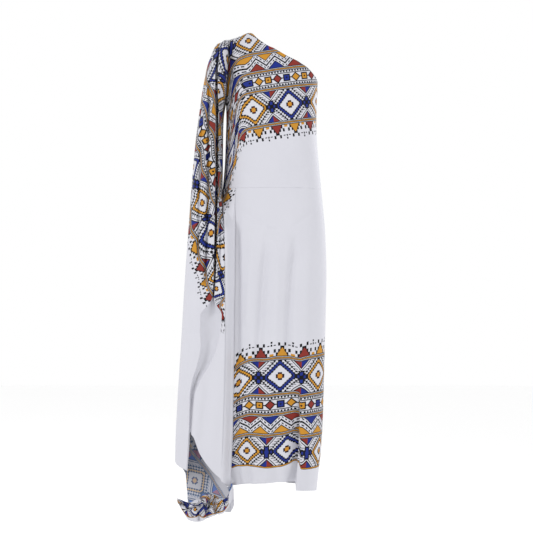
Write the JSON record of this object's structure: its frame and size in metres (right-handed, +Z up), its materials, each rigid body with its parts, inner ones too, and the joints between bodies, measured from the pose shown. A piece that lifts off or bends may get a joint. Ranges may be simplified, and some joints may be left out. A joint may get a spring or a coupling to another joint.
{
  "type": "one-shoulder maxi dress",
  "caption": "Ankle-length one-shoulder column dress with a waist seam and a long open drape hanging from its one shoulder, shown filled out as when worn.",
  "frame": {"origin": "inside of the cloth on top of the wearer's right shoulder, where the shoulder holds the dress up", "axes": "+Z up, -Y the front of the dress, +X the wearer's left"},
  "size_m": [0.4947, 0.2424, 1.5864],
  "materials": {
    "printed_crepe": "matt to soft sheen, off-white ground with a printed border on one face"
  },
  "bodies": {
    "root": {"front_bodice": "printed_crepe", "back_bodice": "printed_crepe", "front_skirt": "printed_crepe", "back_skirt": "printed_crepe", "drape_front": "printed_crepe", "drape_back": "printed_crepe"}
  },
  "joints": []
}
